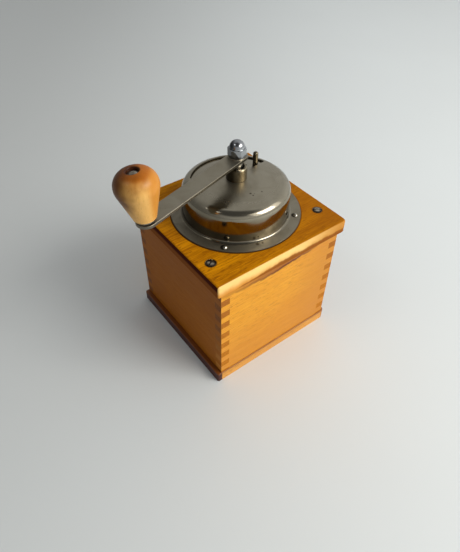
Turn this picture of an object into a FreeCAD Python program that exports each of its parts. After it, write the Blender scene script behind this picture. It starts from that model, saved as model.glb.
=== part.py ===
import FreeCAD, Part

import math
import os

import Sketcher

# Hand crank coffee grinder: a finger-jointed beech box with a drawer, a domed steel hopper
# with a sliding filler shutter, and a conical burr mill hung in the top board.
# Millimetres, +Z up, origin at the bottom centre of the base board, drawer front towards -Y.

DIMENSIONS = [
    # box
    ("base_wide", 126), ("base_deep", 123), ("base_thick", 9.7), ("base_round", 0.9),
    ("box_wide", 118), ("box_deep", 121), ("box_height", 99.3), ("panel_thick", 8),
    ("finger_height", 6.27), ("top_finger_height", 9.9),
    ("finger_count", 8),
    ("board_side", 128), ("board_thick", 10.5), ("board_round", 1.8), ("corner_round", 1.6),
    ("worn_corner", 4.5),
    ("well_radius", 34),
    # drawer
    ("bay_width", 80), ("bay_height", 42), ("drawer_gap", 0.4),
    ("drawer_depth", 90), ("drawer_side_height", 38), ("drawer_wall", 6), ("drawer_floor", 3),
    ("floor_groove", 3), ("floor_lift", 2), ("runner_height", 12),
    ("kicker_height", 6), ("kicker_width", 17), ("pull_radius", 8), ("pull_length", 15),
    ("pull_foot", 5.4), ("pull_waist", 4), ("waist_height", 5.1), ("swell_height", 10.2),
    ("swell_radius", 6.4), ("pull_crown", 4.8), ("pull_bore", 9.2), ("knob_screw_crown", 1.6),
    ("soft_edge", 0.8),
    # dome and shutter
    ("sheet_thick", 1), ("dome_radius", 43), ("flange_radius", 53), ("foot_round", 2.2),
    ("wall_height", 20.5), ("shoulder_radius", 7.5), ("shoulder_angle", 80),
    ("mouth_inner", 13), ("mouth_outer", 36.3), ("mouth_start", 193), ("mouth_end", 320.6),
    ("mouth_corner", 1.6), ("shutter_gap", 0.35), ("shutter_thick", 0.8), ("shutter_skirt", 2.5),
    ("shutter_start", 189.5), ("shutter_end", 324),
    ("pin_angle", 199.5), ("pin_orbit", 28), ("pin_radius", 2.15), ("pin_height", 11.6),
    ("pin_tail", 0.8),
    # bearing on the dome
    ("collar_radius", 8.2), ("collar_height", 10), ("neck_radius", 5.95), ("neck_end", 145),
    ("ring_radius", 9.5), ("ring_thick", 1.1), ("ring_top", 147.75), ("running_gap", 0.05),
    ("collar_mouth", 6.2), ("collar_funnel", 2.4), ("collar_edge", 0.8),
    # crank
    ("crank_angle", 15.83), ("shaft_radius", 4.5), ("stud_radius", 4), ("arm_base", 166.2),
    ("arm_thick", 2.4), ("arm_width", 14), ("arm_reach", 96.04), ("arm_tail", 9.5),
    ("arm_edge", 0.5),
    ("flat_half", 3.2), ("fit_gap", 0.03), ("washer_thick", 0.8), ("washer_radius", 6.3),
    ("nut_flats", 12.5), ("nut_height", 6.8), ("nut_dome", 5.9), ("nut_top", 182),
    ("nut_bevel", 0.58), ("stud_end", 176.3), ("end_gap", 0.3),
    # handle
    ("knob_lean", 6.4), ("lean_way", -40), ("lean_gap", 0.85), ("lean_clearance", 0.33),
    ("knob_foot", 7.9), ("knob_flare", 13.8), ("knob_crown", 10.5), ("knob_top", 36.8),
    ("flare_drop", 14), ("foot_soft", 1.4), ("lip_soft", 0.9), ("lip_drop", 0.4),
    ("knob_recess", 4.2), ("recess_depth", 3.6), ("knob_rise", 0.3),
    ("spindle_radius", 2.8), ("spindle_neck", 2.2), ("spindle_head", 2.7), ("head_edge", 0.5),
    ("head_crown", 0.8), ("end_washer", 3.8), ("rivet_radius", 4.4), ("rivet_thick", 1.4),
    # mill
    ("housing_rim", 41.5), ("funnel_mouth", 33.5), ("rim_thick", 1.5), ("burr_seat", 20.5),
    ("cast_wall", 3.5), ("seat_top", 104), ("housing_end", 82), ("well_gap", 0.3),
    ("burr_teeth", 18), ("tooth_half", 1.1), ("ring_burr_top", 102), ("ring_burr_wide", 17.5),
    ("ring_burr_narrow", 14.5), ("cone_top", 101), ("cone_end", 83.2), ("cone_narrow", 8),
    ("cone_wide", 13.9), ("tooth_margin", 2), ("ring_tooth_depth", 0.4), ("cone_tooth_depth", 0.2),
    ("burr_pin_radius", 1.2), ("burr_pin_height", 90), ("bridge_screw_head", 3),
    ("bridge_screw_short", 4), ("lug_hole_short", 2),
    ("lug_orbit", 28), ("lug_radius", 5), ("lug_top", 96),
    ("bridge_thick", 6), ("bridge_width", 14), ("boss_radius", 8), ("boss_end", 68),
    ("bore_step", 72.4), ("journal_end", 74.6), ("thrust_thick", 1.5), ("thrust_radius", 3.6),
    ("adjuster_shank", 3), ("adjuster_head", 9), ("adjuster_top", 65), ("adjuster_end", 59),
    ("knurl_count", 24), ("knurl_depth", 0.5),
    ("spring_wire", 0.6), ("spring_orbit", 5.9), ("spring_pitch", 3),
    ("seat_base", 120), ("seat_height", 2), ("seat_radius", 8),
    # fasteners
    ("screw_head", 4.1), ("screw_shank", 1.9), ("screw_length", 28), ("screw_crown", 0.9),
    ("hole_gap", 0.1), ("slot_width", 0.9), ("slot_depth", 1.3), ("slot_angle", 35),
    ("top_screw_x", 53.3), ("top_screw_y", 40),
    ("nail_orbit", 48.6), ("nail_angle", 43), ("nail_head", 2), ("nail_crown", 1.4),
    ("nail_shank", 0.75), ("nail_length", 8), ("rim_screw_crown", 1.5),
    ("rim_screw_orbit", 37.8), ("rim_screw_head", 3), ("rim_screw_shank", 1.3),
]

document = FreeCAD.newDocument("coffee_grinder")
sheet = document.addObject("Spreadsheet::Sheet", "Dims")
for row, (alias, number) in enumerate(DIMENSIONS, start=1):
    sheet.set("A%d" % row, alias)
    sheet.set("B%d" % row, str(number))
    sheet.setAlias("B%d" % row, alias)
document.recompute()


class Size:
    """A number together with the sheet expression that gives it."""

    def __init__(self, value, text):
        self.value = float(value)
        self.text = text

    def __add__(self, other):
        other = as_size(other)
        return Size(self.value + other.value, "(%s + %s)" % (self.text, other.text))

    def __sub__(self, other):
        other = as_size(other)
        return Size(self.value - other.value, "(%s - %s)" % (self.text, other.text))

    def __mul__(self, other):
        other = as_size(other)
        return Size(self.value * other.value, "(%s * %s)" % (self.text, other.text))

    def __truediv__(self, other):
        other = as_size(other)
        return Size(self.value / other.value, "(%s / %s)" % (self.text, other.text))

    def __rmul__(self, other):
        return as_size(other) * self

    def __neg__(self):
        return Size(-self.value, "(-1 * %s)" % self.text)


def as_size(number):
    if isinstance(number, Size):
        return number
    return Size(number, "(%r)" % float(number))


def cosine(angle):
    return Size(math.cos(math.radians(angle.value)), "cos(%s * 1 deg)" % angle.text)


def sine(angle):
    return Size(math.sin(math.radians(angle.value)), "sin(%s * 1 deg)" % angle.text)


def arcsine(size):
    return Size(math.degrees(math.asin(size.value)), "(asin(%s) / 1 deg)" % size.text)


def root(size):
    return Size(math.sqrt(size.value), "sqrt(%s)" % size.text)


def cap_radius(reach, rise):
    """The radius of a spherical cap with this half width and rise."""
    return (reach * reach + rise * rise) / (rise * 2)


class Dimensions:
    """The sheet's cells as attributes, one for each alias."""


dims = Dimensions()
for alias, number in DIMENSIONS:
    setattr(dims, alias, Size(number, "Dims." + alias))

# Heights and half widths that several pieces share.
half_wide = dims.box_wide / 2
half_deep = dims.box_deep / 2
inner_wide = half_wide - dims.panel_thick
inner_deep = half_deep - dims.panel_thick
box_top = dims.base_thick + dims.box_height
deck = box_top + dims.board_thick
wall_top = deck + dims.wall_height
arm_top = dims.arm_base + dims.arm_thick
crown_radius = dims.shoulder_radius + (dims.dome_radius - dims.shoulder_radius) / cosine(
    dims.shoulder_angle)
crown_centre = wall_top - (dims.dome_radius - dims.shoulder_radius) * sine(
    dims.shoulder_angle) / cosine(dims.shoulder_angle)
crown_top = crown_centre + crown_radius

sub_parts = []


def origin_item(body, role):
    for item in body.Origin.OriginFeatures:
        if item.Role == role:
            return item
    raise ValueError(role)


def bind(thing, name, size):
    size = as_size(size)
    if hasattr(thing, name):
        setattr(thing, name, size.value)
    thing.setExpression(name, size.text)


def new_body(label):
    body = document.addObject("PartDesign::Body", label)
    body.Label = label
    sub_parts.append(body)
    return body


def new_sketch(body, name, role, level=0):
    """A sketch on one of the body's own origin planes, lifted along its normal by level."""
    sketch = body.newObject("Sketcher::SketchObject", body.Name + "_" + name)
    sketch.AttachmentSupport = [(origin_item(body, role), "")]
    sketch.MapMode = "FlatFace"
    lift = as_size(level)
    sketch.AttachmentOffset = FreeCAD.Placement(
        FreeCAD.Vector(0, 0, lift.value), FreeCAD.Rotation())
    sketch.setExpression("AttachmentOffset.Base.z", lift.text)
    return sketch


def pin_point(sketch, geometry, end, x, y):
    """Fixes one end of a sketch line or arc at (x, y) from the origin."""
    for kind, size in (("DistanceX", as_size(x)), ("DistanceY", as_size(y))):
        constraint = Sketcher.Constraint(kind, -1, 1, geometry, end, size.value)
        index = sketch.addConstraint(constraint)
        name = "%s_%d_%d" % (kind, geometry, end)
        sketch.renameConstraint(index, name)
        sketch.setExpression("Constraints." + name, size.text)


def fix_radius(sketch, geometry, radius):
    index = sketch.addConstraint(Sketcher.Constraint("Radius", geometry, radius.value))
    name = "Radius_%d" % geometry
    sketch.renameConstraint(index, name)
    sketch.setExpression("Constraints." + name, radius.text)


def arc_between(start, end, radius, turn):
    """The short arc from start to end; turn is 1 for anticlockwise and -1 for clockwise."""
    chord = end - start
    middle = (start + end) / 2
    rise = math.sqrt(max(radius * radius - chord.Length * chord.Length / 4, 0))
    normal = FreeCAD.Vector(-chord.y, chord.x, 0).normalize()
    centre = middle + normal * rise * turn
    first, last = (start, end) if turn > 0 else (end, start)
    circle = Part.Circle(centre, FreeCAD.Vector(0, 0, 1), radius)
    return Part.ArcOfCircle(circle, circle.parameter(first), circle.parameter(last))


def outline(sketch, corners):
    """A closed outline. (x, y) is reached by a line, and (x, y, radius, turn) by an arc."""
    first_index = len(sketch.Geometry)
    count = len(corners)
    starts = []
    ends = []
    for index in range(count):
        here = corners[index]
        ahead = corners[(index + 1) % count]
        start = FreeCAD.Vector(as_size(here[0]).value, as_size(here[1]).value, 0)
        end = FreeCAD.Vector(as_size(ahead[0]).value, as_size(ahead[1]).value, 0)
        if len(ahead) == 2:
            sketch.addGeometry(Part.LineSegment(start, end), False)
            starts.append(1)
            ends.append(2)
        else:
            radius = as_size(ahead[2])
            sketch.addGeometry(arc_between(start, end, radius.value, ahead[3]), False)
            starts.append(1 if ahead[3] > 0 else 2)
            ends.append(2 if ahead[3] > 0 else 1)
    for index in range(count):
        ahead = (index + 1) % count
        sketch.addConstraint(Sketcher.Constraint(
            "Coincident", first_index + index, ends[index], first_index + ahead, starts[ahead]))
        pin_point(sketch, first_index + index, starts[index], corners[index][0], corners[index][1])
        if len(corners[ahead]) > 2:
            fix_radius(sketch, first_index + index, as_size(corners[ahead][2]))


def rectangle(sketch, left, low, right, high):
    outline(sketch, [(left, low), (right, low), (right, high), (left, high)])


def circle(sketch, x, y, radius):
    x, y, radius = as_size(x), as_size(y), as_size(radius)
    index = sketch.addGeometry(Part.Circle(
        FreeCAD.Vector(x.value, y.value, 0), FreeCAD.Vector(0, 0, 1), radius.value), False)
    fix_radius(sketch, index, radius)
    pin_point(sketch, index, 3, x, y)


def pad(body, sketch, length, backwards=False):
    feature = body.newObject("PartDesign::Pad", sketch.Name + "_pad")
    feature.Profile = sketch
    bind(feature, "Length", length)
    feature.Reversed = backwards
    body.Tip = feature
    return feature


def pocket(body, sketch, length, backwards=False):
    """Cuts the sketch into the body; the cut runs against the plane's normal unless backwards."""
    document.recompute()
    before = body.Shape.Volume
    feature = body.newObject("PartDesign::Pocket", sketch.Name + "_pocket")
    feature.Profile = sketch
    bind(feature, "Length", length)
    feature.Reversed = backwards
    document.recompute()
    if body.Shape.Volume > before - 1e-6:
        raise RuntimeError(feature.Name + " cuts nothing")
    return feature


def turn_profile(body, sketch, cut=False, axis="V_Axis", angle=360):
    """Revolves the sketch about its vertical axis or one of its edges, as a solid or a cut."""
    kind = "PartDesign::Groove" if cut else "PartDesign::Revolution"
    feature = body.newObject(kind, sketch.Name + "_turned")
    feature.Profile = sketch
    feature.ReferenceAxis = (sketch, [axis])
    bind(feature, "Angle", angle)
    body.Tip = feature
    return feature


def make_turned(label, corners):
    body = new_body(label)
    sketch = new_sketch(body, "profile", "XZ_Plane")
    outline(sketch, corners)
    turn_profile(body, sketch)
    return body


def make_block(label, low, high):
    """A plain board between two corners."""
    body = new_body(label)
    sketch = new_sketch(body, "outline", "XY_Plane", low[2])
    rectangle(sketch, low[0], low[1], high[0], high[1])
    pad(body, sketch, as_size(high[2]) - low[2])
    return body


def polar(body, originals, count):
    pattern = body.newObject("PartDesign::PolarPattern", originals[0].Name + "_ring")
    pattern.Originals = originals
    pattern.Axis = (origin_item(body, "Z_Axis"), [""])
    pattern.Angle = 360
    count = as_size(count)
    pattern.Occurrences = int(count.value)
    pattern.setExpression("Occurrences", count.text)
    body.Tip = pattern
    return pattern


def at_four_corners(body, originals):
    """Copies features to the four corners of a rectangle about the Z axis."""
    name = originals[0].Name
    transform = body.newObject("PartDesign::MultiTransform", name + "_corners")
    transform.Originals = originals
    twins = []
    for role in ("YZ_Plane", "XZ_Plane"):
        mirror = body.newObject("PartDesign::Mirrored", name + "_" + role[:2])
        mirror.MirrorPlane = (origin_item(body, role), [""])
        twins.append(mirror)
    transform.Transformations = twins
    body.Tip = transform
    return transform


def edges_where(shape, test):
    return ["Edge%d" % number for number, edge in enumerate(shape.Edges, start=1)
            if not edge.Degenerated and test(edge)]


def round_edges(body, test, radius, kind="PartDesign::Fillet"):
    """Rounds, or with a Chamfer breaks, the edges of the body's last feature that pass the test."""
    document.recompute()
    base = body.Tip
    names = edges_where(base.Shape, test)
    if not names:
        raise RuntimeError(body.Name + " has no such edge")
    feature = body.newObject(kind, base.Name + "_edges")
    feature.Base = (base, names)
    bind(feature, "Size" if kind.endswith("Chamfer") else "Radius", radius)
    body.Tip = feature
    return feature


def is_level_at(edge, height):
    box = edge.BoundBox
    return abs(box.ZMin - height.value) < 1e-4 and abs(box.ZMax - height.value) < 1e-4


def is_upright(edge):
    box = edge.BoundBox
    return box.XLength < 1e-4 and box.YLength < 1e-4 and box.ZLength > 1


# ---------------------------------------------------------------- boards

def make_board(label, wide, deep, low, thick, edge_round):
    """A board with rounded corners, one of them worn rounder, and a rounded upper edge."""
    body = new_body(label)
    sketch = new_sketch(body, "outline", "XY_Plane", low)
    rectangle(sketch, -(wide / 2), -(deep / 2), wide / 2, deep / 2)
    pad(body, sketch, thick)

    def is_worn(edge):
        middle = edge.BoundBox.Center
        return is_upright(edge) and middle.x < 0 < middle.y

    def is_crisp(edge):
        return is_upright(edge) and not is_worn(edge)

    round_edges(body, is_crisp, dims.corner_round)
    round_edges(body, is_worn, dims.worn_corner)
    top = as_size(low) + thick
    round_edges(body, lambda edge: is_level_at(edge, top), edge_round)
    return body


def countersunk_holes(body, face, x, y, upwards):
    """Four countersunk holes. The heads lie in the face, and the shanks run away from it."""
    sketch = new_sketch(body, "screw_holes", "XY_Plane", face)
    radius = dims.screw_shank + dims.hole_gap
    circle(sketch, x, y, radius)
    hole = pocket(body, sketch, dims.board_thick + 1, backwards=upwards)
    at_four_corners(body, [hole])

    def is_mouth(edge):
        return (isinstance(edge.Curve, Part.Circle) and is_level_at(edge, as_size(face))
                and abs(edge.Curve.Radius - radius.value) < 1e-4)

    round_edges(body, is_mouth, dims.screw_head - dims.screw_shank, "PartDesign::Chamfer")


def make_base_board():
    body = make_board("base_board", dims.base_wide, dims.base_deep, 0, dims.base_thick,
                      dims.base_round)
    middle = half_wide - dims.panel_thick / 2
    countersunk_holes(body, 0, middle, dims.top_screw_y, upwards=True)


def make_top_board():
    body = make_board("top_board", dims.board_side, dims.board_side, box_top, dims.board_thick,
                      dims.board_round)
    sketch = new_sketch(body, "well", "XY_Plane", deck)
    circle(sketch, 0, 0, dims.well_radius)
    pocket(body, sketch, dims.board_thick)
    countersunk_holes(body, deck, dims.top_screw_x, dims.top_screw_y, upwards=False)


def make_panel(label, role, side_sign, takes_top):
    """One wall of the box. takes_top says that its fingers include the tall one at the top.

    role is the upright plane that the wall is parallel to, and side_sign says on which side.
    """
    body = new_body(label)
    # The XZ plane's normal points to -Y and the YZ plane's to +X.
    outward = side_sign if role == "YZ_Plane" else -side_sign
    if role == "YZ_Plane":
        face = half_wide if outward > 0 else -inner_wide
        half, inner_half = half_deep, inner_deep
    else:
        face = half_deep if outward > 0 else -inner_deep
        half, inner_half = half_wide, inner_wide
    sketch = new_sketch(body, "outline", role, face)
    rectangle(sketch, -half, dims.base_thick, half, box_top)
    pad(body, sketch, dims.panel_thick, backwards=True)

    pitch = dims.finger_height * 2
    first_low = box_top - dims.top_finger_height - dims.finger_height
    cut_depth = dims.panel_thick
    if takes_top:
        repeats = dims.finger_count
        low = first_low
    else:
        top_cut = new_sketch(body, "top_notch", role, face)
        top_low = box_top - dims.top_finger_height
        rectangle(top_cut, -half, top_low, -inner_half, box_top)
        rectangle(top_cut, inner_half, top_low, half, box_top)
        pocket(body, top_cut, cut_depth)
        repeats = dims.finger_count - 1
        low = first_low - dims.finger_height
    notch = new_sketch(body, "notch", role, face)
    rectangle(notch, -half, low, -inner_half, low + dims.finger_height)
    rectangle(notch, inner_half, low, half, low + dims.finger_height)
    cut = pocket(body, notch, cut_depth)
    row = body.newObject("PartDesign::LinearPattern", label + "_notches")
    row.Originals = [cut]
    row.Direction = (origin_item(body, "Z_Axis"), [""])
    row.Reversed = True
    bind(row, "Length", pitch * (repeats - 1))
    row.Occurrences = int(repeats.value)
    row.setExpression("Occurrences", repeats.text)
    body.Tip = row
    return body, face


def make_front_panel():
    body, face = make_panel("front_panel", "XZ_Plane", -1, True)
    sketch = new_sketch(body, "drawer_opening", "XZ_Plane", face)
    half = dims.bay_width / 2
    rectangle(sketch, -half, dims.base_thick, half, dims.base_thick + dims.bay_height)
    pocket(body, sketch, dims.panel_thick)


def make_box():
    make_base_board()
    make_front_panel()
    make_panel("back_panel", "XZ_Plane", 1, True)
    make_panel("left_panel", "YZ_Plane", -1, False)
    make_panel("right_panel", "YZ_Plane", 1, False)
    make_top_board()
    half = dims.bay_width / 2
    low = dims.base_thick
    roof = low + dims.bay_height
    for name, sign in (("left", -1), ("right", 1)):
        wall_face = inner_wide * sign
        make_block(name + "_runner", (half * sign, -inner_deep, low),
                   (wall_face, inner_deep, low + dims.runner_height))
        make_block(name + "_kicker", ((inner_wide - dims.kicker_width) * sign, -inner_deep, roof),
                   (wall_face, inner_deep, roof + dims.kicker_height))


# ---------------------------------------------------------------- drawer

def pull_height():
    return dims.base_thick + dims.bay_height / 2


def make_drawer():
    gap = dims.drawer_gap
    low = dims.base_thick + gap
    half = dims.bay_width / 2 - gap
    wall = dims.drawer_wall
    inner = half - wall
    top = low + dims.drawer_side_height
    end = dims.drawer_depth - half_deep
    floor_low = low + dims.floor_lift
    floor_high = floor_low + dims.drawer_floor
    groove = inner + dims.floor_groove

    face = new_body("drawer_front")
    sketch = new_sketch(face, "outline", "XZ_Plane", half_deep)
    rectangle(sketch, -half, low, half, dims.base_thick + dims.bay_height - gap)
    pad(face, sketch, dims.panel_thick, backwards=True)
    outer_face = -half_deep.value
    round_edges(face, lambda edge: abs(edge.BoundBox.YMax - outer_face) < 1e-4, dims.soft_edge)
    hole = new_sketch(face, "screw_hole", "XZ_Plane", half_deep)
    circle(hole, 0, pull_height(), dims.screw_shank + dims.hole_gap)
    pocket(face, hole, dims.panel_thick)

    for name, sign in (("left", -1), ("right", 1)):
        side = new_body("drawer_%s_side" % name)
        profile = new_sketch(side, "section", "XZ_Plane", inner_deep)
        outline(profile, [(half * sign, low), (inner * sign, low), (inner * sign, floor_low),
                          (groove * sign, floor_low), (groove * sign, floor_high),
                          (inner * sign, floor_high), (inner * sign, top), (half * sign, top)])
        pad(side, profile, end + inner_deep, backwards=True)

    make_block("drawer_back", (-inner, end - wall, floor_high), (inner, end, top))
    make_block("drawer_bottom", (-groove, -inner_deep, floor_low), (groove, end, floor_high))


def make_drawer_pull():
    """A turned pull, drawn along Z and laid towards -Y, with its screw from inside the drawer."""
    radius = dims.pull_radius
    rise = dims.pull_length
    depth = dims.pull_bore - 1
    inside = -dims.panel_thick
    head_rise = dims.knob_screw_crown
    pull = make_turned("drawer_knob", [
        (0, 0), (dims.pull_foot, 0), (dims.pull_waist, dims.waist_height),
        (radius, dims.swell_height, dims.swell_radius, -1),
        (0, rise, cap_radius(radius, dims.pull_crown), 1)])
    bore = new_sketch(pull, "screw_bore", "XY_Plane")
    circle(bore, 0, 0, dims.screw_shank + dims.hole_gap)
    pocket(pull, bore, dims.pull_bore, backwards=True)
    screw = make_turned("drawer_knob_screw", [
        (0, inside - head_rise),
        (dims.screw_head, inside, cap_radius(dims.screw_head, head_rise), 1),
        (dims.screw_shank, inside), (dims.screw_shank, depth), (0, depth)])
    height = pull_height()
    for piece in (pull, screw):
        piece.Placement = FreeCAD.Placement(
            FreeCAD.Vector(0, -half_deep.value, height.value),
            FreeCAD.Rotation(FreeCAD.Vector(1, 0, 0), 90))
        piece.setExpression("Placement.Base.y", (-half_deep).text)
        piece.setExpression("Placement.Base.z", height.text)


# ---------------------------------------------------------------- dome and shutter

def layer_joint(depth):
    """Where the shoulder meets the crown in a layer that lies depth inside the dome's face."""
    shoulder = dims.shoulder_radius - depth
    return (dims.dome_radius - dims.shoulder_radius + shoulder * cosine(dims.shoulder_angle),
            wall_top + shoulder * sine(dims.shoulder_angle))


def crown_point(depth, radius):
    """The point of that layer's crown at a radius from the axis."""
    crown = crown_radius - depth
    return (radius, crown_centre + root(crown * crown - radius * radius))


def shell_profile(inset, thick, inner_radius, foot):
    """The section of a layer of the dome: straight wall, round shoulder and low crown.

    The layer's outer face lies inset inside the dome's outer face. It runs from foot on the
    wall up to inner_radius on the crown, and back along its inner face.
    """
    outer, inner = as_size(inset), as_size(inset) + thick
    return [
        (dims.dome_radius - outer, foot),
        (dims.dome_radius - outer, wall_top),
        layer_joint(outer) + (dims.shoulder_radius - outer, 1),
        crown_point(outer, inner_radius) + (crown_radius - outer, 1),
        crown_point(inner, inner_radius),
        layer_joint(inner) + (crown_radius - inner, -1),
        (dims.dome_radius - inner, wall_top, dims.shoulder_radius - inner, -1),
        (dims.dome_radius - inner, foot)]


def on_circle(radius, angle):
    return (radius * cosine(angle), radius * sine(angle))


def rounded_sector(sketch, start, end, inner, outer, corner):
    """A ring sector about the axis with its four corners rounded."""
    inner_turn = arcsine(corner / (inner + corner))
    outer_turn = arcsine(corner / (outer - corner))
    inner_reach = (inner + corner) * cosine(inner_turn)
    outer_reach = (outer - corner) * cosine(outer_turn)
    outline(sketch, [
        on_circle(inner, end - inner_turn) + (corner, 1),
        on_circle(inner, start + inner_turn) + (inner, -1),
        on_circle(inner_reach, start) + (corner, 1),
        on_circle(outer_reach, start),
        on_circle(outer, start + outer_turn) + (corner, 1),
        on_circle(outer, end - outer_turn) + (outer, 1),
        on_circle(outer_reach, end) + (corner, 1),
        on_circle(inner_reach, end)])


def make_dome():
    bore = dims.neck_radius + dims.running_gap
    thick = dims.sheet_thick
    rim = deck + thick
    # The wall's foot spreads through a small hollow round into the flange.
    foot = [(dims.flange_radius, deck), (dims.flange_radius, rim),
            (dims.dome_radius + dims.foot_round, rim),
            (dims.dome_radius, rim + dims.foot_round, dims.foot_round, -1)]
    dome = make_turned("dome_cover", foot + shell_profile(0, thick, bore, deck)[1:])
    across = 2 * dims.flange_radius.value - 0.01
    round_edges(dome, lambda edge: is_level_at(edge, rim) and edge.BoundBox.XLength > across,
                thick * 0.5)

    mouth = new_sketch(dome, "mouth", "XY_Plane", crown_top + 1)
    rounded_sector(mouth, dims.mouth_start, dims.mouth_end, dims.mouth_inner, dims.mouth_outer,
                   dims.mouth_corner)
    pocket(dome, mouth, crown_top + 1 - wall_top)

    nails = new_sketch(dome, "nail_holes", "XY_Plane", rim)
    x, y = on_circle(dims.nail_orbit, dims.nail_angle)
    circle(nails, x, y, dims.nail_shank + dims.hole_gap)
    polar(dome, [pocket(dome, nails, thick)], 4)


def make_shutter():
    """A sector of shell on a full hub ring, drawn from angle 0 and turned to its start."""
    bore = dims.neck_radius + dims.running_gap * 2
    inset = dims.sheet_thick + dims.shutter_gap
    inner = inset + dims.shutter_thick
    hub = dims.ring_radius + 1
    shutter = new_body("shutter")
    ring = new_sketch(shutter, "hub", "XZ_Plane")
    outline(ring, [crown_point(inner, bore), crown_point(inner, hub) + (crown_radius - inner, -1),
                   crown_point(inset, hub), crown_point(inset, bore) + (crown_radius - inset, 1)])
    turn_profile(shutter, ring)
    leaf = new_sketch(shutter, "leaf", "XZ_Plane")
    outline(leaf, shell_profile(inset, dims.shutter_thick, hub - 2, wall_top - dims.shutter_skirt))
    turn_profile(shutter, leaf, angle=dims.shutter_end - dims.shutter_start)
    hole = new_sketch(shutter, "pin_hole", "XY_Plane", crown_top + 1)
    turn = dims.pin_angle - dims.shutter_start
    circle(hole, dims.pin_orbit * cosine(turn), dims.pin_orbit * sine(turn),
           dims.pin_radius + dims.fit_gap)
    pocket(shutter, hole, crown_top + 1 - wall_top)
    shutter.Placement = FreeCAD.Placement(
        FreeCAD.Vector(0, 0, 0), FreeCAD.Rotation(dims.shutter_start.value, 0, 0))
    shutter.setExpression("Placement.Rotation.Angle", dims.shutter_start.text)

    # The pin goes through the sheet and ends a little below it.
    top = crown_point(inset, dims.pin_orbit)[1] + dims.pin_height
    low = crown_point(inner, dims.pin_orbit + dims.pin_radius)[1] - dims.pin_tail
    x = dims.pin_orbit * cosine(dims.pin_angle)
    y = dims.pin_orbit * sine(dims.pin_angle)
    pin = make_turned("shutter_pin", [
        (0, low), (dims.pin_radius, low), (dims.pin_radius, top - dims.pin_radius),
        (0, top, dims.pin_radius, 1)])
    pin.Placement = FreeCAD.Placement(FreeCAD.Vector(x.value, y.value, 0), FreeCAD.Rotation())
    pin.setExpression("Placement.Base.x", x.text)
    pin.setExpression("Placement.Base.y", y.text)


def make_collar():
    bore = dims.shaft_radius + dims.running_gap
    top = crown_top + dims.collar_height
    edge = dims.collar_edge
    make_turned("bearing_collar", [
        (bore, dims.neck_end), (dims.neck_radius, dims.neck_end), (dims.neck_radius, crown_top),
        (dims.collar_radius, crown_top), (dims.collar_radius, top - edge),
        (dims.collar_radius - edge, top), (dims.collar_mouth, top),
        (bore, top - dims.collar_funnel)])
    make_turned("collar_ring", [
        (dims.neck_radius + dims.fit_gap, dims.ring_top - dims.ring_thick),
        (dims.ring_radius, dims.ring_top - dims.ring_thick),
        (dims.ring_radius, dims.ring_top),
        (dims.neck_radius + dims.fit_gap, dims.ring_top)])


# ---------------------------------------------------------------- mill

def make_housing():
    """The cast funnel, its burr seat below, and two lugs for the bridge."""
    wall = dims.cast_wall
    seat_outer = dims.burr_seat + wall
    rim = deck + dims.rim_thick
    shank = dims.well_radius - dims.well_gap
    housing = make_turned("mill_housing", [
        (dims.burr_seat, dims.housing_end), (seat_outer, dims.housing_end),
        (seat_outer, dims.seat_top - wall), (shank, deck - wall), (shank, deck),
        (dims.housing_rim, deck), (dims.housing_rim, rim),
        (dims.funnel_mouth, rim), (dims.burr_seat, dims.seat_top)])
    lugs = new_sketch(housing, "lugs", "XY_Plane", dims.housing_end)
    circle(lugs, dims.lug_orbit, 0, dims.lug_radius)
    circle(lugs, -dims.lug_orbit, 0, dims.lug_radius)
    pad(housing, lugs, dims.lug_top - dims.housing_end)
    holes = new_sketch(housing, "lug_holes", "XY_Plane", dims.housing_end)
    for sign in (-1, 1):
        circle(holes, dims.lug_orbit * sign, 0, dims.screw_shank + dims.fit_gap)
    depth = dims.lug_top - dims.housing_end - dims.lug_hole_short
    pocket(housing, holes, depth, backwards=True)
    rim_holes = new_sketch(housing, "rim_holes", "XY_Plane", rim)
    circle(rim_holes, 0, dims.rim_screw_orbit, dims.rim_screw_shank + dims.hole_gap)
    polar(housing, [pocket(housing, rim_holes, dims.rim_thick)], 3)


def make_housing_screws():
    screws = new_body("housing_screws")
    sketch = new_sketch(screws, "section", "YZ_Plane")
    rim = deck + dims.rim_thick
    orbit = dims.rim_screw_orbit
    head = dims.rim_screw_head
    end = deck - dims.nail_length
    outline(sketch, [(orbit, end), (orbit + dims.rim_screw_shank, end),
                     (orbit + dims.rim_screw_shank, rim), (orbit + head, rim),
                     (orbit, rim + dims.rim_screw_crown,
                      cap_radius(head, dims.rim_screw_crown), 1)])
    polar(screws, [turn_profile(screws, sketch, axis="Edge5")], 3)


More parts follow.
